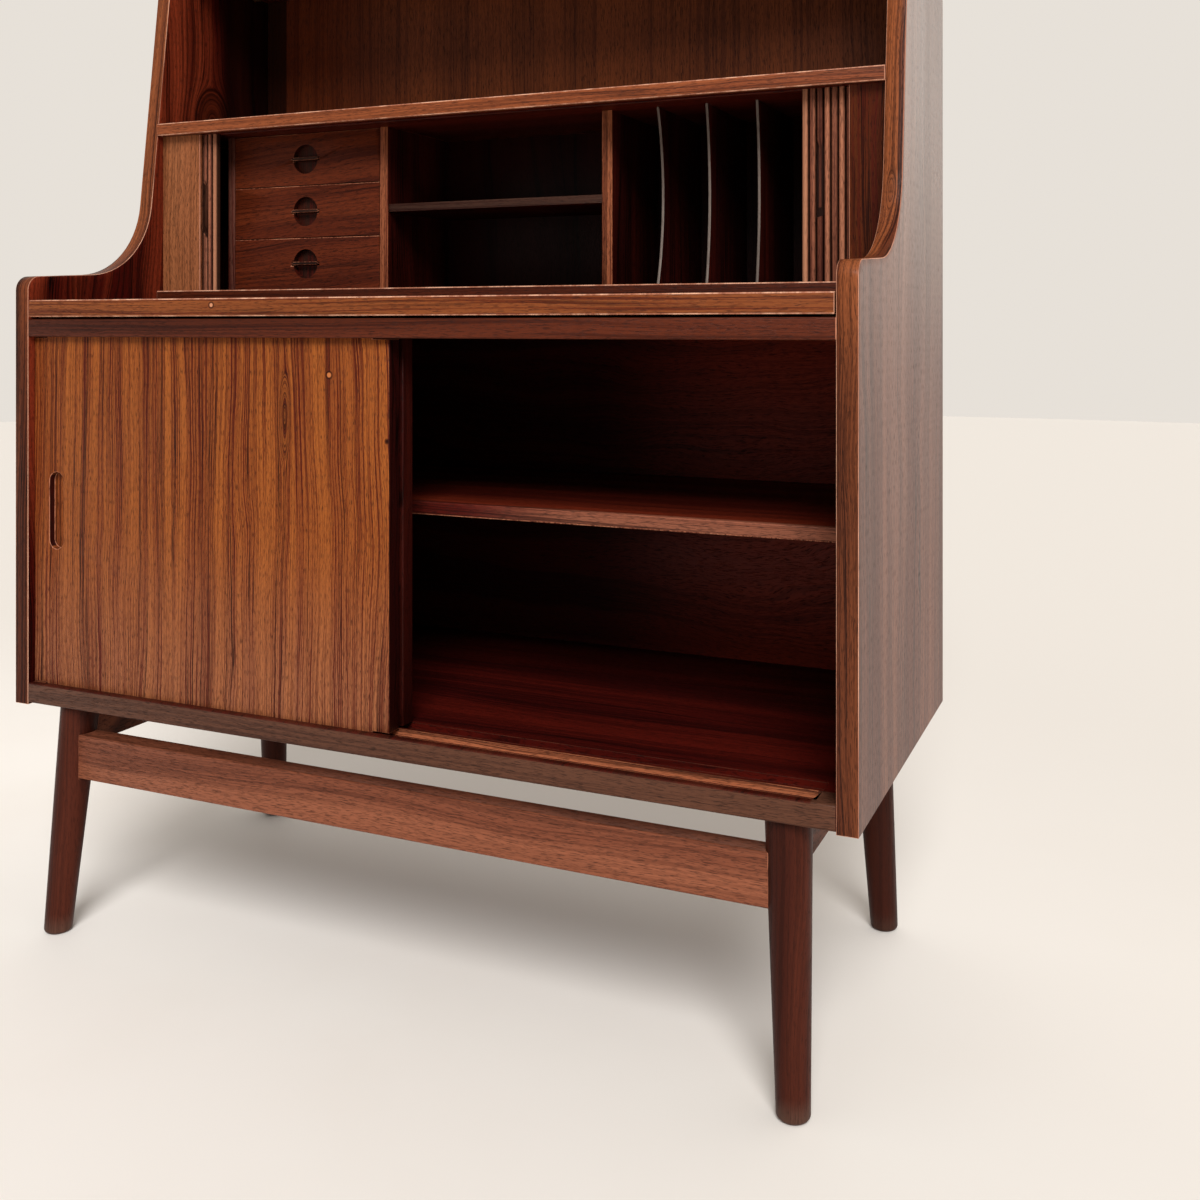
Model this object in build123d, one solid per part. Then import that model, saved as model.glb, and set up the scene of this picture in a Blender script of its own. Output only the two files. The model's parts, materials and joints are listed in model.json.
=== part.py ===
from build123d import *
from math import atan, ceil, cos, floor, hypot, pi, sin, tan
import os

# Bureau bookcase in veneered boards with solid lippings, on a base of four turned legs.
# Millimetres, +Z up. X runs along the front, +Y goes to the back.
# The origin is on the floor, in the middle of the whole piece.

# Case
case_width = 1000
case_depth = 450
case_height = 1650
side_t = 20
side_bottom = 260
side_drop = 2.5
lipping = 8
lipping_ease = 1.5
back_inset = 4
back_t = 6

# Front outline of the sides: depths behind the case front, and rises and drops
waist_setback = 190
top_setback = 263
ledge_front_rise = 27.6
ledge_slope_rise = 11.4
bend_drop = 260
bend_reach = 248
nose_r = 17
hollow_r = 108

# Boards from the floor up
bottom_t = 23
cupboard_clear = 406.5
cupboard_top_t = 20.5
slide_t = 20
slide_head = 0.5
desk_t = 15.5
tambour_clear = 205
tambour_top_t = 16
desk_recess = 20
top_t = 20

# Fits
running_gap = 0.3
shelf_play = 0.5
overrun = 5

# Cupboard doors and their grooves
door_t = 19
door_overlap = 28
door_end_gap = 0.5
door_face_gap = 1
door_lip = 8.5
door_ridge = 6
door_play = 0.5
low_groove = 7
high_groove = 14
high_tongue = 6
groove_stop = 20
door_pull_inset = 35
door_pull_length = 90
door_pull_width = 22
door_pull_depth = 8

# Cupboard shelf and bookshelves
cupboard_shelf_lift = 212
cupboard_shelf_t = 14.5
cupboard_shelf_setback = 103
bookshelf_height_shares = (0.322, 0.661)
bookshelf_t = 16
bookshelf_recess = 5
shelf_rear_gap = 1
pin_r = 2.5
pin_fit = 0.05
pin_depth = 9.8
pin_hole_depth = 10
pin_tab = 8
pin_tab_w = 10
pin_tab_t = 3
pin_inset = 30

# Writing slide on its runners
slide_rear_gap = 5
slide_side_play = 1.5
slide_lipping = 10
slide_runner_t = 2.2
slide_runner_w = 18
slide_runner_inset = 20

# Tambours: a curtain of slats on canvas in a groove that goes round all four sides
slat_pitch = 7.9
slat_gap = 0.3
slat_t = 7.5
slat_ease = 2
stile_slats = 3
canvas_t = 0.5
canvas_margin = 2
tambour_recess = 18
lead_insets = {"left": 84, "right": 92}
groove_play = 0.4
tambour_groove = 6
tambour_tongue = 5
track_wall_gap = 12
track_r = 32
reed_w = 1.2
reed_depth = 2
grip_length = 83
grip_width = 5.5
grip_depth = 5
grip_rise = 7
filler_t = 5
filler_gap = 1
filler_lap = 5
filler_widths = {"left": 62, "right": 40}

# Writing unit between the tambours
unit_recess = 37
unit_rear_space = 22
unit_back_t = 4
unit_inset = 84
unit_wall_t = 11
drawer_bank_w = 229
divider_t = 12
rack_wall_t = 13
rack_w = 243
pigeon_shelf_lift = 97.6
pigeon_shelf_t = 9.8
inner_setback = 2
slip_t = 3
slip_first = 56
slip_pitch = 59
slip_sags = (17, 11, 9)

# Drawers
drawer_names = ("bottom", "middle", "top")
drawer_gap = 1
drawer_play = 0.7
drawer_front_t = 12
drawer_rear_gap = 6
drawer_side_t = 8
drawer_side_drop = 12
drawer_lift = 7
drawer_bottom_t = 4
drawer_runner_h = 6
drawer_runner_reach = 4
drawer_runner_lift = 26
pull_r = 19
pull_depth = 8
pull_bar_w = 44
pull_bar_h = 5
pull_bar_depth = 5
pull_bar_proud = 1.5

# Base
leg_top_r = 22
leg_foot_r = 15.5
foot_ease = 5
leg_foot_inset = 60
leg_top_inset = 71
front_foot_setback = 7
front_top_setback = 31
rear_foot_inset = 45
rear_top_inset = 65
rail_t = 25
rail_h = 51
rail_ease = 2
low_rail_drop = 33.5
screw_r = 2
screw_head_r = 4.5
screw_head_t = 3
screw_bore_r = 5.5
screw_bore_depth = 20
screw_bite = 12
screw_depth_shares = (0.27, 0.67)

# Places worked out from the sizes
toe_reach = leg_foot_r - front_foot_setback
front = (toe_reach - case_depth) / 2
back_face = front + case_depth - back_inset - back_t
inner = case_width / 2 - side_t
ends = ("front", "rear")
foot_setbacks = (front_foot_setback, case_depth - rear_foot_inset)
head_setbacks = (front_top_setback, case_depth - rear_top_inset)
case_under = side_bottom + side_drop
cupboard_floor = case_under + bottom_t
cupboard_ceiling = cupboard_floor + cupboard_clear
cupboard_top = cupboard_ceiling + cupboard_top_t
slide_under = cupboard_top + slide_runner_t + running_gap
slide_top = slide_under + slide_t
desk_under = slide_top + slide_head
desk_top = desk_under + desk_t
tambour_ceiling = desk_top + tambour_clear
tambour_top = tambour_ceiling + tambour_top_t
ledge_front_z = slide_top + ledge_front_rise
ledge_back_z = ledge_front_z + ledge_slope_rise
bend_z = case_height - bend_drop
desk_setback = waist_setback + desk_recess
tambour_setback = desk_setback + tambour_recess
filler_setback = tambour_setback - filler_gap - filler_t
unit_setback = tambour_setback + unit_recess
bookshelf_setback = top_setback + bookshelf_recess
book_clear = case_height - top_t - tambour_top
bookshelf_zs = [tambour_top + share * book_clear for share in bookshelf_height_shares]
cupboard_shelf_z = cupboard_floor + cupboard_shelf_lift
groove_w = door_t + 2 * door_play
front_groove = front + door_lip
rear_groove = front_groove + groove_w + door_ridge
door_lipping = door_lip + groove_w + door_ridge / 2
door_w = inner + door_overlap / 2
sides = {"left": -1, "right": 1}
nodes = {}


def block(x, y, z):
    """A box between pairs of coordinates along each axis."""
    spans = (x, y, z)
    sizes = [abs(high - low) for low, high in spans]
    return Pos(*[(low + high) / 2 for low, high in spans]) * Box(*sizes)


def beside(side, inboard, outboard):
    """A span along X on one side of the middle."""
    return sorted((sides[side] * inboard, sides[side] * outboard))


def eased_front(board, radius=lipping_ease):
    """The board with its long front edges rounded."""
    return fillet(board.edges().filter_by(Axis.X).group_by(Axis.Y)[0], radius)


def group(pieces):
    """Separate solids that share one node."""
    return Compound([solid for piece in pieces for solid in piece.solids()])


def board_and_lipping(x, setback, z, depth=lipping, rear=back_face):
    """A board and the solid strip along its front edge."""
    joint = front + setback + depth
    strip = eased_front(block(x, (front + setback, joint), z))
    return block(x, (joint, rear), z), strip


# Side panels

ledge_slope = ledge_slope_rise / waist_setback
rake_slope = (top_setback - waist_setback) / (bend_z - ledge_back_z)
bend_r = bend_reach / tan(atan(rake_slope) / 2)


def outline_points(inset):
    """Corners of the side's front outline, moved inwards by an even inset."""
    ledge_start = ledge_front_z - inset * hypot(1, ledge_slope)
    rake_start = waist_setback + inset * hypot(1, rake_slope) - rake_slope * ledge_back_z
    waist_z = (ledge_start + ledge_slope * rake_start) / (1 - ledge_slope * rake_slope)
    waist = (rake_start + rake_slope * waist_z, waist_z)
    nose = (inset, ledge_start + ledge_slope * inset)
    top_y = top_setback + inset
    return nose, waist, (top_y, (top_y - rake_start) / rake_slope)


def side_face(inset):
    """The side's outline seen from the right, without a band of the inset's width along its front."""
    nose, waist, bend = [(front + y, z) for y, z in outline_points(inset)]
    rear = front + case_depth
    corners = [(nose[0], side_bottom), nose, waist, bend, (bend[0], case_height)]
    corners += [(rear, case_height), (rear, side_bottom)]
    face = make_face(Polyline(*corners, close=True))
    for corner, radius in ((nose, nose_r - inset), (waist, hollow_r + inset), (bend, bend_r + inset)):
        face = fillet(face.vertices().sort_by_distance(Vector(*corner))[0], radius)
    return face


def side_solid(side, face):
    """A face of the side's outline made as thick as the side panel."""
    x = beside(side, inner, case_width / 2)[0]
    return Pos(x, 0, 0) * extrude(Plane.YZ * face, amount=side_t)


def shelf_places():
    """Underside and front setback of each loose shelf."""
    places = [(cupboard_shelf_z, cupboard_shelf_setback)]
    return places + [(z, bookshelf_setback) for z in bookshelf_zs]


def pin_places():
    """Underside of the shelf and depth of each pin."""
    for z, setback in shelf_places():
        for y in (front + setback + pin_inset, back_face - pin_inset):
            yield z, y


def pin_plug(side, z, y, radius, depth):
    """A round plug that goes from the side's inner face into the panel."""
    start = Pos(sides[side] * inner, y, z - pin_r) * Rot(0, sides[side] * 90, 0)
    return start * Cylinder(radius, depth, align=(Align.CENTER, Align.CENTER, Align.MIN))


for side in sides:
    panel = side_solid(side, side_face(lipping))
    for z, y in pin_places():
        panel -= pin_plug(side, z, y, pin_r + pin_fit, pin_hole_depth)
    nodes[f"{side}_side_panel"] = panel
    nodes[f"{side}_side_lipping"] = side_solid(side, side_face(0) - side_face(lipping))


# Cupboard boards with the door grooves

def door_groove(y, z):
    """The space that one door groove takes out of a board."""
    reach = inner - groove_stop
    return block((-reach, reach), (y, y + groove_w), z)


def cut_door_grooves(pieces, z):
    """The pieces of a board less both door grooves."""
    cutters = [door_groove(y, z) for y in (front_groove, rear_groove)]
    return [piece - cutters for piece in pieces]


full_width = (-inner, inner)
low_cut = (cupboard_floor - low_groove, cupboard_floor + overrun)
high_cut = (cupboard_ceiling - overrun, cupboard_ceiling + high_groove)
bottom = board_and_lipping(full_width, 0, (case_under, cupboard_floor), door_lipping)
nodes["bottom_board"], nodes["bottom_board_lipping"] = cut_door_grooves(bottom, low_cut)
ceiling = board_and_lipping(full_width, 0, (cupboard_ceiling, cupboard_top), door_lipping)
nodes["cupboard_top_board"], nodes["cupboard_top_lipping"] = cut_door_grooves(ceiling, high_cut)


# Tambour boards with the curved groove

def track_ring(offset_out, offset_in, z):
    """A closed band round the tambour section, between two offsets from the middle of its groove."""
    low = front + tambour_setback + slat_t / 2
    high = back_face - track_wall_gap
    half = inner - track_wall_gap
    loops = []
    for offset in (offset_out, offset_in):
        width, depth = 2 * (half + offset), high - low + 2 * offset
        loops.append(RectangleRounded(width, depth, track_r + offset))
    band = Pos(0, (low + high) / 2, z[0]) * (loops[0] - loops[1])
    return extrude(band, amount=z[1] - z[0])


half_groove = slat_t / 2 + groove_play
desk_cut = track_ring(half_groove, -half_groove, (desk_top - tambour_groove, desk_top + overrun))
head_cut = track_ring(
    half_groove, -half_groove, (tambour_ceiling - overrun, tambour_ceiling + tambour_groove)
)
desk = board_and_lipping(full_width, desk_setback, (desk_under, desk_top))
nodes["desk_board"], nodes["desk_board_lipping"] = desk[0] - desk_cut, desk[1]
head = board_and_lipping(full_width, desk_setback, (tambour_ceiling, tambour_top))
nodes["tambour_top_board"], nodes["tambour_top_lipping"] = head[0] - head_cut, head[1]

# Top board and back panels
top_z = (case_height - top_t, case_height)
top = board_and_lipping(full_width, top_setback, top_z)
nodes["top_board"], nodes["top_board_lipping"] = top
back_y = (back_face, back_face + back_t)
back_split = desk_under + desk_t / 2
nodes["lower_back_panel"] = block(full_width, back_y, (case_under, back_split))
nodes["upper_back_panel"] = block(full_width, back_y, (back_split, case_height))

# Loose shelves on their pins
shelf_x = (shelf_play - inner, inner - shelf_play)
shelf_rear = back_face - shelf_rear_gap
shelf_z = (cupboard_shelf_z, cupboard_shelf_z + cupboard_shelf_t)
low_shelf = board_and_lipping(shelf_x, cupboard_shelf_setback, shelf_z, rear=shelf_rear)
nodes["cupboard_shelf"], nodes["cupboard_shelf_lipping"] = low_shelf
book_lippings = []
for name, z in zip(("lower", "upper"), bookshelf_zs):
    shelf, strip = board_and_lipping(shelf_x, bookshelf_setback, (z, z + bookshelf_t), rear=shelf_rear)
    nodes[f"{name}_bookshelf"] = shelf
    book_lippings.append(strip)
nodes["bookshelf_lippings"] = group(book_lippings)


def shelf_pin(side, z, y):
    """A pin in the side panel with a flat tab under the shelf."""
    tab = block(
        beside(side, inner - pin_tab, inner),
        (y - pin_tab_w / 2, y + pin_tab_w / 2),
        (z - pin_tab_t, z),
    )
    return tab + pin_plug(side, z, y, pin_r, pin_depth)


pins = [shelf_pin(side, z, y) for side in sides for z, y in pin_places()]
nodes["shelf_pins"] = group(pins)

# Writing slide
runner_z = (cupboard_top, cupboard_top + slide_runner_t)
slide_rear = back_face - slide_rear_gap
runner_y = (front + slide_runner_inset, slide_rear)
runners = [block(beside(side, inner - slide_runner_w, inner), runner_y, runner_z) for side in sides]
nodes["slide_runners"] = group(runners)
slide_x = (slide_side_play - inner, inner - slide_side_play)
slide = board_and_lipping(slide_x, 0, (slide_under, slide_top), slide_lipping, rear=slide_rear)
nodes["writing_slide"], nodes["writing_slide_lipping"] = slide


# Sliding doors

def sliding_door(y, pull_x):
    """A door at its left stop, with tongues in the grooves and a sunk finger pull."""
    left = door_end_gap - inner
    y_span = (y + door_play, y + door_play + door_t)
    face_z = (cupboard_floor + door_face_gap, cupboard_ceiling - door_face_gap)
    panel = block((left, left + door_w), y_span, face_z)
    panel = fillet(panel.edges().filter_by(Axis.Z), lipping_ease)
    short = groove_stop + door_end_gap
    tongue_z = (cupboard_floor - low_groove + running_gap, cupboard_ceiling + high_tongue)
    panel += block((left + short, left + door_w - short), y_span, tongue_z)
    pull = SlotOverall(door_pull_length, door_pull_width, rotation=90)
    middle = (cupboard_floor + cupboard_ceiling) / 2
    pull_plane = Plane(origin=(left + pull_x, y_span[0], middle), x_dir=(1, 0, 0), z_dir=(0, -1, 0))
    return panel - extrude(pull_plane * pull, amount=-door_pull_depth)


nodes["front_door"] = sliding_door(front_groove, door_pull_inset)
nodes["rear_door"] = sliding_door(rear_groove, door_w - door_pull_inset)


# Tambour curtains, worked out for the right side and mirrored for the left

canvas_y = front + tambour_setback + slat_t
canvas_r = track_r - slat_t / 2
straight_end = inner - track_wall_gap - track_r
leads = {side: inner - inset for side, inset in lead_insets.items()}
side_run = back_face - track_wall_gap - track_r - (canvas_y + canvas_r)
slat_z = (
    desk_top - tambour_groove + running_gap,
    tambour_ceiling + tambour_tongue,
)
canvas_z = (desk_top + canvas_margin, tambour_ceiling - canvas_margin)


def straight_slats(lead):
    """How many slats fit between the leading edge and the bend of the groove."""
    return floor((straight_end - lead) / slat_pitch)


def curtain_place(lead, distance):
    """Place and heading on the canvas line, at a distance outward from the leading edge."""
    bend = canvas_r * pi / 2
    runs = (straight_end - lead, bend, side_run, bend)
    marks = [sum(runs[:count]) for count in range(len(runs) + 1)]
    rear_y = canvas_y + canvas_r + side_run
    if distance <= marks[1]:
        return lead + distance, canvas_y, 0
    if distance <= marks[2]:
        turn = (distance - marks[1]) / canvas_r
        return straight_end + canvas_r * sin(turn), canvas_y + canvas_r * (1 - cos(turn)), turn
    if distance <= marks[3]:
        return straight_end + canvas_r, canvas_y + canvas_r + distance - marks[2], pi / 2
    if distance <= marks[4]:
        turn = (distance - marks[3]) / canvas_r
        return straight_end + canvas_r * cos(turn), rear_y + canvas_r * sin(turn), pi / 2 + turn
    return straight_end - (distance - marks[4]), rear_y + canvas_r, pi


def slat_at(lead, number):
    """One slat, counted outward from the leading edge."""
    x, y, heading = curtain_place(lead, (number + 0.5) * slat_pitch)
    half = (slat_pitch - slat_gap) / 2
    slat = block((-half, half), (-slat_t, 0), slat_z)
    slat = fillet(slat.edges().filter_by(Axis.Z).group_by(Axis.Y)[0], slat_ease)
    return Pos(x, y, 0) * Rot(0, 0, heading * 180 / pi) * slat


def leading_stile(lead):
    """The wider first piece: reeded like the slats, with a sunk finger grip in its last reed."""
    edge = lead + stile_slats * slat_pitch - slat_gap
    face_y = canvas_y - slat_t
    stile = block((lead, edge), (face_y, canvas_y), slat_z)
    stile = fillet(stile.edges().filter_by(Axis.Z).group_by(Axis.Y)[0], slat_ease)
    for count in range(1, stile_slats):
        x = lead + count * slat_pitch
        y_span = (face_y - overrun, face_y + reed_depth)
        stile -= block((x - reed_w / 2, x + reed_w / 2), y_span, slat_z)
    grip = SlotOverall(grip_length, grip_width, rotation=90)
    x = lead + (stile_slats - 0.5) * slat_pitch
    middle = (desk_top + tambour_ceiling) / 2 + grip_rise
    face = Plane(origin=(x, face_y, middle), x_dir=(1, 0, 0), z_dir=(0, -1, 0))
    return stile - extrude(face * grip, amount=-grip_depth)


def straight_part(lead):
    """The slats and canvas behind the stile that stay on the straight front run of the groove."""
    count = straight_slats(lead)
    slats = [slat_at(lead, number) for number in range(stile_slats, count)]
    x = (lead + canvas_margin, lead + count * slat_pitch - slat_gap)
    return slats + [block(x, (canvas_y, canvas_y + canvas_t), canvas_z)]


def curtain_tail(lead, reach):
    """The slats and canvas round the corner, with enough to reach the filler when closed."""
    count = straight_slats(lead)
    whole = ceil(reach / slat_pitch)
    slats = [slat_at(lead, number) for number in range(count, whole)]
    inside = -slat_t / 2
    band = track_ring(inside, inside - canvas_t, canvas_z)
    start = curtain_place(lead, count * slat_pitch)[0] + slat_gap
    stop = curtain_place(lead, whole * slat_pitch)[0]
    middle = (canvas_y + back_face) / 2
    band -= block((-inner, start), (front, middle), canvas_z)
    band -= block((-inner, stop), (middle, back_face), canvas_z)
    return slats + [band]


for side, lead in leads.items():
    curtain = {
        "stile": [leading_stile(lead)],
        "slats": straight_part(lead),
        "tail": curtain_tail(lead, inner - filler_widths[side] + filler_lap),
    }
    for name, pieces in curtain.items():
        shape = group(pieces)
        if side == "left":
            shape = mirror(shape, Plane.YZ)
        nodes[f"{side}_tambour_{name}"] = shape

filler_y = (front + filler_setback, front + filler_setback + filler_t)
for side, width in filler_widths.items():
    x = beside(side, inner - width, inner)
    nodes[f"{side}_filler"] = block(x, filler_y, (desk_top, tambour_ceiling))

# Writing unit
unit_z = (desk_top, tambour_ceiling)
unit_front = front + unit_setback
unit_rear = back_face - unit_rear_space - unit_back_t
unit_half = inner - unit_inset
unit_y = (unit_front, unit_rear)
end_walls = [block(beside(side, unit_half, unit_half + unit_wall_t), unit_y, unit_z) for side in sides]
nodes["unit_end_walls"] = group(end_walls)
bank = (-unit_half, drawer_bank_w - unit_half)
divider_x = (bank[1], bank[1] + divider_t)
nodes["drawer_divider"] = block(divider_x, unit_y, unit_z)
rack_wall_x = (unit_half - rack_w - rack_wall_t, unit_half - rack_w)
nodes["rack_wall"] = block(rack_wall_x, unit_y, unit_z)
unit_back_y = (unit_rear, unit_rear + unit_back_t)
unit_reach = unit_half + unit_wall_t
nodes["unit_back"] = block((-unit_reach, unit_reach), unit_back_y, unit_z)
shelf_low = desk_top + pigeon_shelf_lift
nodes["pigeonhole_shelf"] = block(
    (divider_x[1], rack_wall_x[0]),
    (unit_front + inner_setback, unit_rear),
    (shelf_low, shelf_low + pigeon_shelf_t),
)


def letter_slip(number, sag):
    """A thin upright with a hollowed front edge."""
    low, high = unit_z
    edge = unit_front + inner_setback
    curve = ThreePointArc((edge, high), (edge + sag, (low + high) / 2), (edge, low))
    rest = Polyline((edge, low), (unit_rear, low), (unit_rear, high), (edge, high))
    face = make_face(curve + rest)
    x = rack_wall_x[1] + slip_first + number * slip_pitch
    return Pos(x - slip_t / 2, 0, 0) * extrude(Plane.YZ * face, amount=slip_t)


slips = [letter_slip(number, sag) for number, sag in enumerate(slip_sags)]
nodes["letter_slips"] = group(slips)

# Drawers on their runners
drawer_pitch = (tambour_clear - drawer_gap) / len(drawer_names)
drawer_front_h = drawer_pitch - drawer_gap
drawer_x = (bank[0] + drawer_play, bank[1] - drawer_play)
box_front = unit_front + drawer_front_t
box_rear = unit_rear - drawer_rear_gap
runner_reach = drawer_play + drawer_runner_reach
runner_start = box_front + running_gap
drawer_runners = []


def drawer_box(low):
    """Two grooved sides, a back and a bottom, as separate boards."""
    floor_z = low + drawer_lift
    side_z = (floor_z, low + drawer_front_h - drawer_side_drop)
    slot_z = (
        low + drawer_runner_lift - running_gap,
        low + drawer_runner_lift + drawer_runner_h + running_gap,
    )
    reach = drawer_runner_reach + running_gap
    y_span = (box_front, box_rear)
    long_span = (box_front - overrun, box_rear + overrun)
    left = block((drawer_x[0], drawer_x[0] + drawer_side_t), y_span, side_z)
    left -= block((drawer_x[0] - overrun, drawer_x[0] + reach), long_span, slot_z)
    right = block((drawer_x[1] - drawer_side_t, drawer_x[1]), y_span, side_z)
    right -= block((drawer_x[1] - reach, drawer_x[1] + overrun), long_span, slot_z)
    between = (drawer_x[0] + drawer_side_t, drawer_x[1] - drawer_side_t)
    base = block(between, y_span, (floor_z, floor_z + drawer_bottom_t))
    back_z = (floor_z + drawer_bottom_t, side_z[1])
    rear = block(between, (box_rear - drawer_side_t, box_rear), back_z)
    return group([left, right, base, rear])


for number, name in enumerate(drawer_names):
    low = desk_top + drawer_gap + number * drawer_pitch
    middle_x, middle_z = sum(drawer_x) / 2, low + drawer_front_h / 2
    face = block(drawer_x, (unit_front, box_front), (low, low + drawer_front_h))
    face_plane = Plane(origin=(middle_x, unit_front, middle_z), x_dir=(1, 0, 0), z_dir=(0, -1, 0))
    face -= extrude(face_plane * Circle(pull_r), amount=-pull_depth)
    bar = block(
        (middle_x - pull_bar_w / 2, middle_x + pull_bar_w / 2),
        (unit_front - pull_bar_proud, unit_front - pull_bar_proud + pull_bar_depth),
        (middle_z - pull_bar_h / 2, middle_z + pull_bar_h / 2),
    )
    nodes[f"{name}_drawer_front"] = face - bar
    nodes[f"{name}_drawer_pull"] = bar
    nodes[f"{name}_drawer_box"] = drawer_box(low)
    strip_z = (low + drawer_runner_lift, low + drawer_runner_lift + drawer_runner_h)
    for span in ((bank[0], bank[0] + runner_reach), (bank[1] - runner_reach, bank[1])):
        drawer_runners.append(block(span, (runner_start, unit_rear), strip_z))
nodes["drawer_runners"] = group(drawer_runners)


# Base

def leg_ends(side, end):
    """The middle of a leg's foot and of its top."""
    number = ends.index(end)
    half = case_width / 2
    foot = Vector(sides[side] * (half - leg_foot_inset), front + foot_setbacks[number], 0)
    head = Vector(sides[side] * (half - leg_top_inset), front + head_setbacks[number], case_under)
    return foot, head


def leg_axis(side, end, z):
    """The point on a leg's axis at one height."""
    foot, head = leg_ends(side, end)
    return foot + (head - foot) * (z / case_under)


def tapered_leg(side, end):
    """A turned, splayed leg, cut level at the floor and under the case, with a rounded foot."""
    foot, head = leg_ends(side, end)
    length = (head - foot).length
    growth = (leg_top_r - leg_foot_r) / length
    spare = leg_top_r
    cone = Cone(
        leg_foot_r - growth * spare,
        leg_top_r + growth * spare,
        length + 2 * spare,
        align=(Align.CENTER, Align.CENTER, Align.MIN),
    )
    axis = (head - foot).normalized()
    cone = Plane(origin=foot - axis * spare, z_dir=axis).location * cone
    reach = case_width + case_depth
    leg = cone & block((-reach, reach), (-reach, reach), (0, case_under))
    return fillet(leg.edges().group_by(Axis.Z)[0], foot_ease)


legs = {(side, end): tapered_leg(side, end) for side in sides for end in ends}
for (side, end), leg in legs.items():
    nodes[f"{side}_{end}_leg"] = leg


def eased_rail(x, y, z, along):
    """A rail with its long edges rounded."""
    rail = block(x, y, z)
    return fillet(rail.edges().filter_by(along), rail_ease)


low_z = (case_under - low_rail_drop - rail_h, case_under - low_rail_drop)
for end in ends:
    middle = leg_axis("right", end, sum(low_z) / 2)
    y_span = (middle.Y - rail_t / 2, middle.Y + rail_t / 2)
    rail = eased_rail((-middle.X, middle.X), y_span, low_z, Axis.X)
    nodes[f"{end}_rail"] = rail - [legs[side, end] for side in sides]

high_z = (case_under - rail_h, case_under)
upright = (Align.CENTER, Align.CENTER, Align.MIN)
side_rails = []
screws = []
screw_holes = []
for side in sides:
    marks = [leg_axis(side, end, sum(high_z) / 2) for end in ends]
    x = marks[0].X
    x_span = (x - rail_t / 2, x + rail_t / 2)
    rail = eased_rail(x_span, (marks[0].Y, marks[1].Y), high_z, Axis.Y)
    rail -= [legs[side, end] for end in ends]
    for share in screw_depth_shares:
        seat = high_z[0] + screw_bore_depth
        shank_h = case_under + screw_bite - seat
        place = Pos(x, front + share * case_depth, seat)
        under = Pos(0, 0, -screw_head_t)
        shank = Cylinder(screw_r, shank_h, align=upright)
        cap = under * Cylinder(screw_head_r, screw_head_t, align=upright)
        screws.append(place * (shank + cap))
        hole = place * Cylinder(screw_r + pin_fit, shank_h + pin_fit, align=upright)
        bore_h = screw_bore_depth + overrun
        bore = place * Pos(0, 0, -bore_h) * Cylinder(screw_bore_r, bore_h, align=upright)
        rail -= [hole, bore]
        screw_holes.append(hole)
    side_rails.append(rail)
nodes["side_rails"] = group(side_rails)
nodes["case_screws"] = group(screws)
nodes["bottom_board"] -= screw_holes

os.makedirs("parts", exist_ok=True)
for name, shape in nodes.items():
    export_step(shape, f"parts/{name}.step")
print(len(nodes), "nodes, front at", round(front, 2), "and back boards at", round(back_face, 2))
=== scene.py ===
"""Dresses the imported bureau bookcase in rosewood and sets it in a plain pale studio."""

import json
import logging
import math
from dataclasses import dataclass, replace
from enum import Enum
from typing import Any, Callable, Optional, Union

import bmesh
import bpy
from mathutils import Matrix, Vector
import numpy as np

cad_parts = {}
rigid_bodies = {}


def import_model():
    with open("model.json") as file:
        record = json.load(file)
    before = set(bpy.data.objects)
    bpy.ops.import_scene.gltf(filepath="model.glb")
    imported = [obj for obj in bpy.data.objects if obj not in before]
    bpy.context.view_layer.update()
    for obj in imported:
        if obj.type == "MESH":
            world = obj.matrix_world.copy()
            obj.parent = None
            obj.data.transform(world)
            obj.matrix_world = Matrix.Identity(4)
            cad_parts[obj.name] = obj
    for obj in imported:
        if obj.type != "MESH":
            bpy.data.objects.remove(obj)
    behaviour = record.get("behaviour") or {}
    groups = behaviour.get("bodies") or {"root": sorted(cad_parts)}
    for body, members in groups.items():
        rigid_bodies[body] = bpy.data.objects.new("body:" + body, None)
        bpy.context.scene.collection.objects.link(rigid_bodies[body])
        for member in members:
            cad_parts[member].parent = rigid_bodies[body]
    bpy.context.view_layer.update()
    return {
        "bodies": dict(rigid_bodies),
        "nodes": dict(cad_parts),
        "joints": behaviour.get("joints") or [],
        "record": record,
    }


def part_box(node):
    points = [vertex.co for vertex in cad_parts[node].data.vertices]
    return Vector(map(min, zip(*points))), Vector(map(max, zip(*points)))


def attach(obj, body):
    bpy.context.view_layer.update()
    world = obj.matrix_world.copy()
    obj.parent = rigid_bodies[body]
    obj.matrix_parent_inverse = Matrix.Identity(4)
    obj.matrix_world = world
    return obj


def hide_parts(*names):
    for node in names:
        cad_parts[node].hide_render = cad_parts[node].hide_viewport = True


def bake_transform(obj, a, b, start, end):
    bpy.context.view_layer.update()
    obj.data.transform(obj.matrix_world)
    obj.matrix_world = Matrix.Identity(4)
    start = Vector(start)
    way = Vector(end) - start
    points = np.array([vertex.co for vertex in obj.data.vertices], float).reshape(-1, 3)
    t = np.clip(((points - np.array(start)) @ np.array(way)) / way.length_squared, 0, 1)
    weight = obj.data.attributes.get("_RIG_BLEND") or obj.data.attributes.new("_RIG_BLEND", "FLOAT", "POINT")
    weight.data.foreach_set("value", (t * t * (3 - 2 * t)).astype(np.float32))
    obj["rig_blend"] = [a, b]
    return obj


log = logging.getLogger("bureau_bookcase")

Colour = tuple[float, float, float]
Operand = Union["Field", float]
Face = bmesh.types.BMFace
Shape = bmesh.types.BMesh
Piece = bpy.types.Object
Material = bpy.types.Material
Sorter = Callable[[Face], int]
Test = Callable[[Face], bool]

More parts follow.
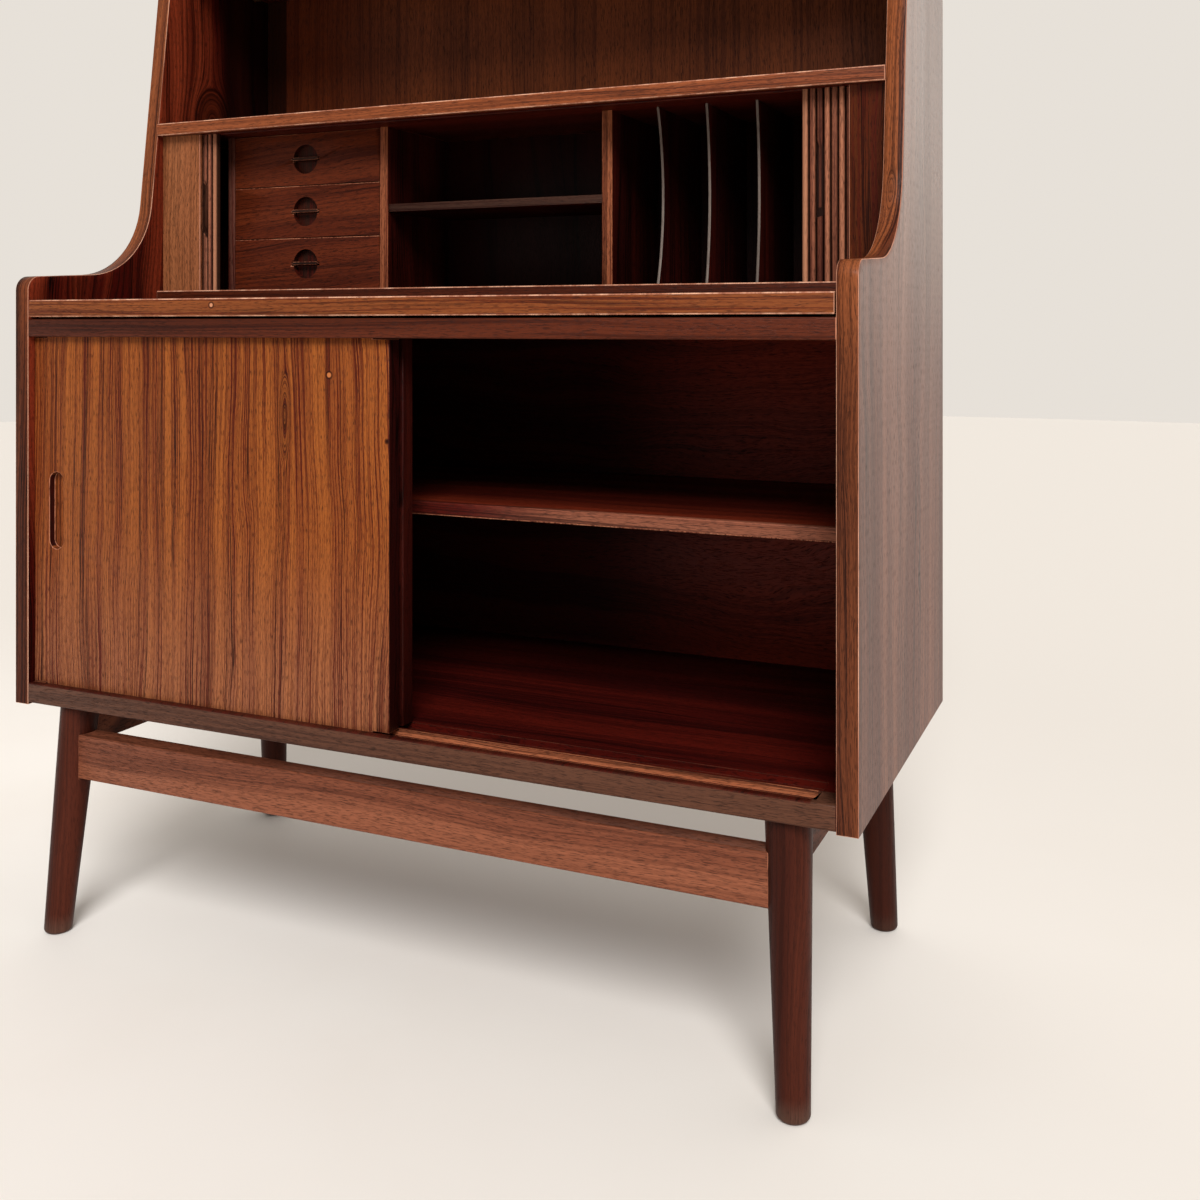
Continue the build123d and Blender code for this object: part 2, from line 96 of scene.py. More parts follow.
ROOT = "root"
MILLIMETRE = 0.001
MERGE_DISTANCE = 0.00001
FLAT_ANGLE = 0.002
ARRIS_ANGLE = math.radians(32)
RIB_ANGLE = math.radians(50)
FACING = 0.7
LEANING = 0.2
TOP_FACE = 1.64
BOTTOM_FACE = 0.265
FOOT_FACE = 0.01
FOOT_ROUND = 4.5
LEAD_RIB = 0.0075
RIB_CREST = 0.455
GRIP_FLANK = 0.3
LEAD_EDGE_PALE = (222, 160, 122)
DARKEST_SHARE = 0.4
RELIEF_DEPTH = 0.00025
SCRATCH_DEPTH = 0.00005


def linear(colour: Colour) -> tuple[float, float, float, float]:
    """Turns a display colour of 0 to 255 into the linear colour that a socket takes.

    Args:
        colour: Red, green and blue from 0 to 255.

    Returns:
        The linear colour with full alpha.
    """
    channels = []
    for value in colour:
        share = value / 255
        channels.append(share / 12.92 if share <= 0.04045 else ((share + 0.055) / 1.055) ** 2.4)
    return (channels[0], channels[1], channels[2], 1.0)


class Field:
    """One output socket of a shader tree, with the arithmetic that the finishes use."""

    def __init__(self, shader: "Shader", socket: bpy.types.NodeSocket) -> None:
        """Wraps a socket of a shader's tree."""
        self.shader = shader
        self.socket = socket

    def __add__(self, other: Operand) -> "Field":
        """Adds another field or number."""
        return self.shader.sum("ADD", self, other)

    def __radd__(self, other: Operand) -> "Field":
        """Adds this field to a number."""
        return self.shader.sum("ADD", other, self)

    def __sub__(self, other: Operand) -> "Field":
        """Takes another field or number away."""
        return self.shader.sum("SUBTRACT", self, other)

    def __rsub__(self, other: Operand) -> "Field":
        """Takes this field away from a number."""
        return self.shader.sum("SUBTRACT", other, self)

    def __mul__(self, other: Operand) -> "Field":
        """Multiplies by another field or number."""
        return self.shader.sum("MULTIPLY", self, other)

    def __rmul__(self, other: Operand) -> "Field":
        """Multiplies a number by this field."""
        return self.shader.sum("MULTIPLY", other, self)

    def __truediv__(self, other: Operand) -> "Field":
        """Divides by another field or number."""
        return self.shader.sum("DIVIDE", self, other)

    def most(self, other: Operand) -> "Field":
        """Gives the larger of this and another value."""
        return self.shader.sum("MAXIMUM", self, other)

    def least(self, other: Operand) -> "Field":
        """Gives the smaller of this and another value."""
        return self.shader.sum("MINIMUM", self, other)

    def root(self) -> "Field":
        """Gives the square root."""
        return self.shader.sum("SQRT", self)

    def size(self) -> "Field":
        """Gives the value without its sign."""
        return self.shader.sum("ABSOLUTE", self)

    def past(self, edge: float) -> "Field":
        """Gives 1 where the value is past an edge, else 0."""
        return self.shader.sum("GREATER_THAN", self, edge)

    def rise(self, low: float, high: float) -> "Field":
        """Gives a smooth step that is 0 up to the low value and 1 from the high one."""
        inputs = {"Value": self, "From Min": low, "From Max": high}
        return self.shader.field("ShaderNodeMapRange", inputs, interpolation_type="SMOOTHSTEP")


class Shader:
    """Builds the node tree of one material, or of the world, from expressions."""

    def __init__(self, owner: Union[Material, bpy.types.World]) -> None:
        """Starts the tree of a material or world anew.

        Args:
            owner: The material or world.
        """
        owner.use_nodes = True
        self.owner = owner
        self.tree = owner.node_tree
        self.tree.nodes.clear()

    def node(self, kind: str, inputs: dict[Any, Any], **settings: Any) -> bpy.types.Node:
        """Adds one node.

        Args:
            kind: The node's type.
            inputs: Values or fields by socket name or number.
            settings: Its properties, which are set first.

        Returns:
            The node.
        """
        made = self.tree.nodes.new(kind)
        for name, value in settings.items():
            setattr(made, name, value)
        for key, value in inputs.items():
            if isinstance(value, Field):
                self.tree.links.new(value.socket, made.inputs[key])
            else:
                made.inputs[key].default_value = value
        return made

    def field(self, kind: str, inputs: dict[Any, Any], output: Any = 0, **settings: Any) -> Field:
        """Adds one node and gives one of its outputs."""
        return Field(self, self.node(kind, inputs, **settings).outputs[output])

    def sum(self, operation: str, *operands: Operand) -> Field:
        """Gives the result of a Math node's operation on its operands."""
        return self.field("ShaderNodeMath", dict(enumerate(operands)), operation=operation)

    def place(self) -> Field:
        """Gives the place on the object, in metres."""
        return self.field("ShaderNodeTexCoord", {}, "Object")

    def attribute(self, name: str) -> Field:
        """Reads a number that the mesh holds."""
        return self.field("ShaderNodeAttribute", {}, "Fac", attribute_name=name)

    def vector(self, x: Operand, y: Operand, z: Operand) -> Field:
        """Joins three values into a vector."""
        return self.field("ShaderNodeCombineXYZ", {"X": x, "Y": y, "Z": z})

    def noise(self, place: Field, detail: float, roughness: float = 0.5) -> Field:
        """Gives smooth noise about 0.5, at a place whose unit is the noise's own period."""
        inputs = {"Vector": place, "Scale": 1.0, "Detail": detail, "Roughness": roughness}
        return self.field("ShaderNodeTexNoise", inputs, noise_dimensions="3D")

    def blend(self, first: Union[Field, Colour], second: Colour, share: Operand) -> Field:
        """Mixes two colours by the share of the second."""
        under = first if isinstance(first, Field) else linear(first)
        return self.field("ShaderNodeMix", {0: share, 6: under, 7: linear(second)}, 2, data_type="RGBA")

    def finish(self, inputs: dict[str, Any], height: Optional[Field], relief: float) -> Material:
        """Ends the tree with one Principled shader.

        Args:
            inputs: The shader's inputs by name.
            height: The relief's height from 0 to 1, or None for a plain surface.
            relief: How deep the relief is, in metres.

        Returns:
            The material.
        """
        if height is not None:
            bump = {"Strength": 0.6, "Distance": relief, "Height": height}
            inputs["Normal"] = self.field("ShaderNodeBump", bump)
        surface = self.field("ShaderNodeBsdfPrincipled", inputs)
        self.node("ShaderNodeOutputMaterial", {"Surface": surface})
        return self.owner


class Grain(Enum):
    """Which way the grain runs: the axes along it, across it and into the wood."""

    UP_A_FRONT = "ZXY"
    UP_A_SIDE = "ZYX"
    ALONG_A_FRONT = "XZY"
    ALONG_A_TOP = "XYZ"
    FRONT_TO_BACK = "YXZ"
    UP_A_SLAT = "slat"


@dataclass(frozen=True)
class Knot:
    """A knot that the grain flows round: its middle and half sizes along and across the grain."""

    along: float
    across: float
    half_length: float
    half_width: float
    shade: float = 0.5


@dataclass(frozen=True)
class Joint:
    """A joint between two leaves of veneer: its place across the grain and the next leaf's shade."""

    across: float
    shade: float


@dataclass(frozen=True)
class Heart:
    """The middle of a crown-cut leaf, where the lines meet in tall arches."""

    across: float
    breadth: float
    lean: float
    middle: float
    near: float = 0.02
    far: float = 0.13


@dataclass(frozen=True)
class Fade:
    """A slow change of colour along an axis of the object; many stand for light or shade, as painted light,
    painted shade or a painted reflection.
    """

    axis: str
    start: float
    end: float
    colour: Colour
    share: float


@dataclass(frozen=True)
class Pip:
    """A pin knot or a nick: an eye in a dark ring, at a place along and across the grain."""

    along: float
    across: float
    radius: float
    eye: Colour
    ring: float = 0.7


@dataclass(frozen=True)
class Rosewood:
    """Lacquered rosewood, as one board, leaf or lipping, or plainer wood that is out of sight."""

    name: str
    grain: Grain
    pale: Colour
    middle: Colour
    dark: Colour
    seed: float = 0.0
    wander: float = 0.03
    slant: float = 0.0
    bands: float = 24.0
    lines: float = 310.0
    veins: float = 70.0
    lined: float = 0.6
    veined: float = 0.6
    flecked: float = 0.4
    pored: float = 0.65
    roughness: float = 0.38
    gloss: float = 0.1
    knots: tuple[Knot, ...] = ()
    leaves: tuple[Joint, ...] = ()
    heart: Optional[Heart] = None
    fades: tuple[Fade, ...] = ()
    pips: tuple[Pip, ...] = ()
    dull_foot: float = 0.0
    coat: float = 0.0

    def directions(self, shader: Shader, axes: dict[str, Field]) -> list[Field]:
        """Reads the surface's place along, across and into the wood.

        Args:
            shader: The material being built.
            axes: The place in X, Y and Z.

        Returns:
            The three places in metres.
        """
        if self.grain is Grain.UP_A_SLAT:
            return [axes["Z"], shader.attribute("across"), shader.attribute("strip") * 3.0]
        return [axes[axis] for axis in self.grain.value]

    def material(self) -> Material:
        """Builds the wood's material.

        Returns:
            The material.
        """
        shader = Shader(bpy.data.materials.new(self.name))
        split = shader.node("ShaderNodeSeparateXYZ", {"Vector": shader.place()}).outputs
        axes = {axis: Field(shader, split[axis]) for axis in "XYZ"}
        along, across, depth = self.directions(shader, axes)
        eyes: list[tuple[Field, Pip]] = []
        for pip in self.pips:
            beside = across - pip.across
            beyond = along - pip.along
            eyes.append(((beside * beside + beyond * beyond).root() / pip.radius, pip))
        if self.slant:
            across = across - along * self.slant
        if self.heart:
            aside = across - self.heart.across
            reach = (aside * aside + self.heart.breadth**2).root()
            near = 1.0 - aside.size().rise(self.heart.near, self.heart.far)
            depth = depth + aside * 0.25
            across = reach + (along - self.heart.middle) * near * self.heart.lean
        cores: list[tuple[Field, Knot]] = []
        for knot in self.knots:
            sideways = across - knot.across
            lengthways = (along - knot.along) / knot.half_length
            reach = sideways / knot.half_width
            square = lengthways * lengthways + reach * reach
            inside = 1.0 - square.root().least(1.0)
            across = across - sideways / (square * square).most(1.0) - inside * (knot.half_width * 1.4)
            cores.append((square, knot))
        shade: Operand = 0.0
        for joint in self.leaves:
            step = across.past(joint.across)
            depth = depth + step * 2.7
            shade = step * joint.shade + shade
        drift = shader.noise(
            shader.vector(along * 1.5 + self.seed, across * 5.0, depth * 5.0 + self.seed), 2.0
        )
        ripple = shader.noise(shader.vector(along * 11.0, across * 24.0, depth * 8.0 + self.seed), 1.0)
        girth = across + (drift - 0.5) * (self.wander * 2.0) + (ripple - 0.5) * (self.wander * 0.2)
        inner = depth * 6.0 + self.seed * 1.7
        broad = shader.noise(shader.vector(along * 0.6, girth * self.bands, inner), 4.0, 0.55)
        fine = shader.noise(shader.vector(along * 2.2, girth * self.lines, inner + 3.0), 3.0, 0.6)
        ruled = shader.noise(shader.vector(along * 0.9, girth * self.veins, inner + 7.0), 3.0)
        fleck = shader.noise(shader.vector(along * 100.0, girth * 900.0, depth * 300.0), 1.0, 0.6)
        pits = shader.noise(shader.vector(along * 120.0, girth * 1400.0, depth * 600.0), 1.0, 0.4)
        colour = shader.blend(self.pale, self.middle, broad.rise(0.36, 0.6))
        for fade in self.fades:
            amount = axes[fade.axis].rise(fade.start, fade.end) * fade.share
            colour = shader.blend(colour, fade.colour, amount)
        grain_and_shade_dark = tuple(value * DARKEST_SHARE for value in self.dark)
        drawn = fine.rise(0.48, 0.57) * (broad.rise(0.34, 0.56) * 0.55 + 0.45)
        colour = shader.blend(colour, self.dark, drawn * self.lined)
        colour = shader.blend(colour, self.dark, fleck.rise(0.5, 0.75) * self.flecked)
        veins = (1.0 - (ruled - 0.5).size().rise(0.003, 0.018)) * broad.rise(0.38, 0.52)
        colour = shader.blend(colour, grain_and_shade_dark, veins * self.veined)
        pores = pits.rise(0.57, 0.66)
        colour = shader.blend(colour, grain_and_shade_dark, pores * self.pored)
        for square, knot in cores:
            outline = 1.0 - (square - 1.0).size().rise(0.0, 0.22)
            core = 1.0 - square.rise(0.7, 1.05)
            darkening = (outline * (0.25 + knot.shade)).most(core * knot.shade)
            colour = shader.blend(colour, grain_and_shade_dark, darkening)
        if self.leaves:
            colour = shader.blend(colour, grain_and_shade_dark, shade)
        if self.grain is Grain.UP_A_SLAT:
            hollow, strip, lead = (shader.attribute(name) for name in ("hollow", "strip", "across"))
            colour = shader.blend(colour, self.dark, strip.rise(0.5, 0.95) * 0.55)
            # Paler towards the leading edge.
            lead_edge_pale = lead.rise(LEAD_RIB, LEAD_RIB * 0.4) * (0.25 + broad.rise(0.62, 0.36) * 0.45)
            colour = shader.blend(colour, LEAD_EDGE_PALE, lead_edge_pale)
            # Painted shade: darker down in the grooves between the ribs and along the sunk grip.
            colour = shader.blend(colour, grain_and_shade_dark, hollow.rise(0.08, 0.7) * 0.9)
        for distance, pip in eyes:
            colour = shader.blend(colour, pip.eye, 1.0 - distance.rise(0.6, 0.95))
            ring = 1.0 - (distance - 1.0).size().rise(0.1, 0.5)
            colour = shader.blend(colour, grain_and_shade_dark, ring * pip.ring)
        rough = pores * 0.14 + (broad - 0.5) * 0.16 + self.roughness
        if self.dull_foot:
            rough = rough + (1.0 - along.rise(0.3, 1.1)) * self.dull_foot
        height = 1.0 - (pores * 0.7 + fine * 0.3)
        inputs = {"Base Color": colour, "Roughness": rough, "Specular IOR Level": self.gloss}
        if self.coat:
            inputs["Coat Weight"] = along.rise(0.6, 1.0) * self.coat
            inputs["Coat Roughness"] = 0.12
        return shader.finish(inputs, height, RELIEF_DEPTH)


@dataclass(frozen=True)
class Metal:
    """Drawn metal with fine scratches, for pins and screws."""

    name: str
    colour: Colour
    roughness: float

    def material(self) -> Material:
        """Builds the metal's material.

        Returns:
            The material.
        """
        shader = Shader(bpy.data.materials.new(self.name))
        drawn = {"Vector": shader.place(), "Scale": (900.0, 900.0, 120.0)}
        scuff = shader.noise(shader.field("ShaderNodeMapping", drawn), 3.0)
        dull = tuple(value * 0.72 for value in self.colour)
        colour = shader.blend(self.colour, dull, scuff.rise(0.4, 0.7))
        rough = scuff * 0.2 + self.roughness
        inputs = {"Base Color": colour, "Metallic": 1.0, "Roughness": rough}
        return shader.finish(inputs, scuff, SCRATCH_DEPTH)


@dataclass(frozen=True)
class PaintedFloor:
    """A smooth pale painted floor with faint clouds and a painted pool of light: darker far from a bright
    spot in front of the piece.
    """

    name: str
    colour: Colour
    shade: Colour
    far: Colour
    brightest: tuple[float, float, float] = (-0.5, -0.6, 0.0)
    near_edge: float = 0.4
    far_edge: float = 2.2

    def material(self) -> Material:
        """Builds the floor's material.

        Returns:
            The material.
        """
        shader = Shader(bpy.data.materials.new(self.name))
        place = shader.place()
        wide = {"Vector": place, "Scale": (3.0, 3.0, 3.0)}
        cloud = shader.noise(shader.field("ShaderNodeMapping", wide), 5.0)
        colour = shader.blend(self.colour, self.shade, cloud.rise(0.35, 0.8))
        ends = {0: place, 1: self.brightest}
        away = shader.field("ShaderNodeVectorMath", ends, "Value", operation="DISTANCE")
        colour = shader.blend(colour, self.far, away.rise(self.near_edge, self.far_edge))
        inputs = {"Base Color": colour, "Roughness": 0.7, "Specular IOR Level": 0.3}
        return shader.finish(inputs, None, 0.0)


def vary(wood: Rosewood, name: str, *colours: Colour, **changes: Any) -> Rosewood:
    """Gives a wood a new name, up to three colours from pale to dark, and other changes."""
    return replace(wood, name=name, **dict(zip(("pale", "middle", "dark"), colours)), **changes)


PLAIN_CUT = Rosewood(
    "plain_cut", Grain.UP_A_FRONT, (156, 86, 37), (136, 70, 31), (76, 20, 12), seed=3.1,
    lined=0.7, pored=0.6, veined=0.85,
)
DOOR = vary(
    PLAIN_CUT, "door_veneer", bands=52.0, lines=700.0, veins=170.0, lined=1.0,
    flecked=0.5, knots=(Knot(0.609, -0.117, 0.045, 0.007, 0.25),),
    # The fade is a painted reflection of the floor: paler and greyer towards the foot.
    fades=(Fade("Z", 0.5, 0.29, (146, 104, 84), 0.34),),
    pips=(Pip(0.6531, -0.06, 0.0036, (186, 110, 62)), Pip(0.586, 0.0118, 0.0024, (40, 14, 8))),
)
LIPPING = vary(
    PLAIN_CUT, "lipping", (92, 41, 24), (74, 31, 17), (42, 14, 9), grain=Grain.ALONG_A_FRONT,
    wander=0.012, seed=8.4, pored=0.5, veined=0.45,
)
INNER = vary(
    PLAIN_CUT, "inner_side", (156, 64, 37), (68, 14, 8), (34, 6, 3), grain=Grain.UP_A_SIDE,
    wander=0.06, seed=5.7, veins=46.0, veined=0.95,
    knots=(Knot(0.985, 0.098, 0.05, 0.034, 0.6),),
    # The Y fade darkens the inner side deeper into the case: painted shade.
    fades=(Fade("Y", 0.1, 0.135, (16, 3, 2), 0.92), Fade("Z", 0.99, 0.95, (88, 16, 11), 0.35)),
)
HIDDEN_WOOD = Rosewood(
    "drawer_box_wood", Grain.FRONT_TO_BACK, (132, 84, 54), (104, 62, 38), (72.8, 43.4, 26.6),
    wander=0.01, lined=0.3, pored=0.25, roughness=0.6, gloss=0.25,
)
FINISHES: tuple[Union[Rosewood, Metal, PaintedFloor], ...] = (
    DOOR,
    vary(DOOR, "rear_door_veneer", seed=4.2, heart=Heart(-0.28, 0.02, -0.1, 0.5), knots=(), pips=()),
    # Painted shade: the doors' edge faces and the rear door's lippings are dark, as though shaded in the
    # gap.
    vary(INNER, "shaded_door_edge", (60, 18, 12), (44, 10, 8), knots=(), fades=()),
    LIPPING,
    vary(LIPPING, "rail_face", (92, 58, 43), (74, 43, 32), (46, 25, 19), seed=1.9),
    # Pale door tracks: wear where the doors run, and a painted highlight.
    vary(LIPPING, "door_track", (196, 124, 88), (166, 98, 66), seed=2.2),
    vary(LIPPING, "shelf_edge", (152, 83, 49), (126, 64, 38), (66, 27, 17), seed=2.6),
    vary(
        LIPPING, "cup_shelf_edge", (104, 36, 26), (78, 22, 17), seed=2.9,
        # The fade is painted light: paler to the right, where light falls into the cupboard.
        fades=(Fade("X", 0.04, 0.2, (160, 101, 76), 0.6),),
    ),
    INNER,
    vary(
        INNER, "outer_side", (140, 84, 60), (114, 64, 46), (62, 30, 22), seed=6.3, lines=520.0,
        veined=0.4, roughness=0.22, gloss=0.6, dull_foot=0.3, coat=0.42, knots=(),
        # The Z fade is a painted reflection: paler and greyer upwards, as the glossy side mirrors the bright
        # room.
        fades=(Fade("Z", 0.5, 1.0, (178, 136, 114), 0.55),),
    ),
    vary(
        LIPPING, "side_lipping", (148, 82, 47), (98, 48, 28), (36, 12, 8), grain=Grain.UP_A_FRONT,
        seed=7.9, bands=50.0, lines=400.0, veins=150.0, lined=0.85, veined=0.8,
        wander=0.022, knots=(Knot(0.842, 0.489, 0.02, 0.0042, 0.2),),
        fades=(Fade("Z", 0.78, 0.62, (62, 27, 17), 0.62),),
    ),
    vary(
        LIPPING, "board_veneer", (112, 40, 22), (86, 26, 15), (44, 10, 7), grain=Grain.ALONG_A_TOP,
        wander=0.04, seed=9.2,
    ),
    vary(
        LIPPING, "floor_veneer", (84, 20, 13), (60, 11, 8), (30, 5, 4), grain=Grain.ALONG_A_TOP,
        wander=0.03, seed=9.8,
    ),
    # Painted shade: dark deep in the cupboard; the fade paints light on its right part.
    vary(
        INNER, "cupboard_back", (62, 16, 11), (44, 9, 7), (30, 6, 4), grain=Grain.ALONG_A_FRONT,
        wander=0.09, seed=11.2, lined=0.35, veined=0.3, knots=(),
        fades=(Fade("X", 0.04, 0.34, (146, 50, 30), 0.85),),
    ),
    vary(
        INNER, "back_veneer", (108, 50, 24), (90, 39, 19), (52, 18, 10), grain=Grain.UP_A_FRONT,
        wander=0.02, seed=12.4, lined=0.5, veined=0.15, knots=(),
        fades=(Fade("X", -0.42, -0.18, (114, 62, 28), 0.4),),
        # The first two joints give a dark band along the left side, which ends 0.446 m left of the middle.
        leaves=(Joint(-0.49, 0.85), Joint(-0.4461, -0.85), Joint(-0.19, -0.1), Joint(0.13, 0.1)),
    ),
    vary(
        PLAIN_CUT, "slide_veneer", (154, 88, 44), (130, 70, 36), grain=Grain.ALONG_A_FRONT,
        wander=0.012, seed=13.8, veined=0.4, pored=0.5,
        pips=(Pip(-0.2085, 0.7274, 0.003, (206, 140, 104)),),
    ),
    vary(
        PLAIN_CUT, "drawer_veneer", (103, 44, 22), (89, 35, 17), (46, 14, 8), seed=15.3,
        grain=Grain.ALONG_A_FRONT, slant=0.07, veins=60.0, lined=0.5, veined=0.5,
    ),
    # The fillers are a lit and a shaded copy: painted light on the left one, painted shade on the right one.
    vary(
        PLAIN_CUT, "left_filler_veneer", (168, 106, 67), (150, 90, 56), (92, 50, 28), seed=16.1,
        slant=0.05, lined=0.5, flecked=0.55, veined=0.3,
    ),
    vary(PLAIN_CUT, "right_filler_veneer", (100, 47, 21), (78, 33, 14), seed=16.9),
    vary(
        PLAIN_CUT, "unit_veneer", (74, 22, 14), (52, 13, 9), (20, 4, 3), seed=17.7,
        grain=Grain.UP_A_SIDE,
    ),
    # Nearly black: painted shade deep behind the pigeonholes.
    vary(INNER, "shaded_unit_back", (40, 9, 7), (28, 5, 4), grain=Grain.UP_A_FRONT, knots=(), fades=()),
    vary(PLAIN_CUT, "unit_edge", (176, 106, 70), (146, 82, 54), seed=18.2, wander=0.008),
    vary(LIPPING, "pigeonhole_edge", (78, 52, 42), (58, 36, 28), seed=18.5),
    # Pale grey front edges of the letter slips: wear and a painted highlight.
    vary(
        PLAIN_CUT, "slip_edge", (132, 120, 112), (110, 98, 90), (80, 66, 58), seed=18.9,
        veined=0.2, pored=0.2,
    ),
    # Dark front edges of the unit's end walls: painted shade.
    vary(PLAIN_CUT, "shaded_end_wall_edge", (112, 68, 56), (82, 45, 37), seed=18.7),
    # Dark inside the pull recesses: painted shade.
    vary(PLAIN_CUT, "shaded_pull_recess", (58, 30, 19), (44, 21, 14), seed=18.8),
    vary(
        PLAIN_CUT, "leg_wood", (78, 34, 21), (58, 22, 13), (32, 10, 6), seed=19.5, wander=0.02,
        veined=0.3, lined=0.45, flecked=0.2, pored=0.25,
        roughness=0.42, gloss=0.09,
        # The Y fade darkens the rear legs as painted shade under the case; the Z fade makes the very foot
        # paler and greyer.
        fades=(Fade("Z", 0.026, 0.004, (104, 88, 76), 0.3), Fade("Y", 0.0, 0.15, (32, 9, 5), 0.5)),
    ),
    vary(
        LIPPING, "rail_wood", (142, 84, 60), (120, 67, 47), (78, 39, 26), seed=20.1, wander=0.02,
        lined=0.5, veined=0.15, flecked=0.6,
    ),
    vary(LIPPING, "side_rail_wood", (132, 76, 50), (108, 58, 38), grain=Grain.FRONT_TO_BACK, seed=21.6),
    vary(
        PLAIN_CUT, "slat_wood", (180, 116, 87), (130, 73, 54), (60, 25, 20), grain=Grain.UP_A_SLAT,
        seed=22.3, wander=0.002, bands=90.0, veined=0.5,
    ),
    vary(LIPPING, "pull_wood", (66, 42, 32), (46, 27, 20), (22, 10, 8), seed=23.9),
    # Pale arris finishes: a painted highlight along the eased edges, the first one for wear as well.
    vary(PLAIN_CUT, "wear_and_highlight_arris", (190, 124, 94), (160, 96, 70), seed=24.4),
    vary(
        PLAIN_CUT, "highlight_arris", (228, 172, 142), (178, 116, 90), seed=24.9, bands=60.0,
        lined=0.25, flecked=0.2, veined=0.2, pored=0.2,
    ),
    vary(PLAIN_CUT, "dark_arris", (80, 35, 23), (58, 22, 14), seed=25.6),
    vary(
        PLAIN_CUT, "panel_rear", (112, 62, 40), (92, 48, 30), (56, 27, 17), seed=26.3,
        veined=0.2, roughness=0.55,
    ),
    HIDDEN_WOOD,
    vary(
        HIDDEN_WOOD, "runner_wood", (150, 104, 66), (120, 78, 46), (84.0, 54.6, 32.2),
        grain=Grain.ALONG_A_TOP,
    ),
    Metal("steel", (168, 164, 158), 0.3),
    Metal("brass", (176, 140, 84), 0.3),
    PaintedFloor("floor_paint", (244, 240, 235), (241, 236, 230), (226, 221, 215)),
)


def faces_front(face: Face) -> int:
    """Puts faces that look to the front in slot 2."""
    return 2 if face.normal.y < -FACING else 0


def faces_rearwards(face: Face) -> int:
    """Puts faces that look to the rear in slot 2."""
    return 2 if face.normal.y > FACING else 0


def faces_sideways(face: Face) -> int:
    """Puts faces that look left or right in slot 2."""
    return 2 if abs(face.normal.x) > FACING else 0


def on_front_arris(face: Face) -> int:
    """Puts the eased front arrises of a lipping in slot 1."""
    return 1 if face.normal.y < -LEANING and abs(face.normal.z) > LEANING else 0


def on_lower_arris(face: Face) -> int:
    """Puts the eased lower front arris of a lipping in slot 1."""
    return 1 if face.normal.y < -LEANING and face.normal.z < -LEANING else 0


def in_or_out(face: Face) -> int:
    """Puts faces that look outwards in slot 2 and inwards in slot 3.

    Args:
        face: A face of a side lipping.

    Returns:
        The face's slot.
    """
    outward = math.copysign(face.normal.x, face.normal.x * face.calc_center_median().x)
    if abs(outward) < 0.8:
        return 0
    return 2 if outward > 0 else 3


def looks_outwards(face: Face) -> int:
    """Puts faces that look outwards, and edges, in slot 2 and the top in slot 3.

    Args:
        face: A face of a side panel.

    Returns:
        The face's slot.
    """
    if face.normal.z > FACING:
        return 3
    outward = face.normal.x * face.calc_center_median().x
    return 2 if outward > 0.3 or abs(face.normal.x) < 0.5 else 0


def covered_by_lipping(face: Face) -> bool:
    """Tells the front faces of a side panel, which its lipping covers."""
    top = face.calc_center_median().z > TOP_FACE
    return face.normal.y < -0.02 or (face.normal.z > 0.1 and not top)


def glued_to_panel(face: Face) -> bool:
    """Tells the rear faces of a side lipping, which are glued to its panel."""
    bottom = face.calc_center_median().z < BOTTOM_FACE
    return face.normal.y > 0.02 or (face.normal.z < -0.1 and not bottom)


def faces_upwards(face: Face) -> bool:
    """Tells the faces that look up."""
    return face.normal.z > 0.5


def near_the_floor(face: Face) -> bool:
    """Tells the faces of a leg's rounded foot."""
    return face.calc_center_median().z < FOOT_FACE


def no_free_edge(face: Face) -> bool:
    """Tells the faces of a filler that are let into the boards or the side."""
    return abs(face.normal.z) > FACING or face.normal.x * face.calc_center_median().x > 0.1


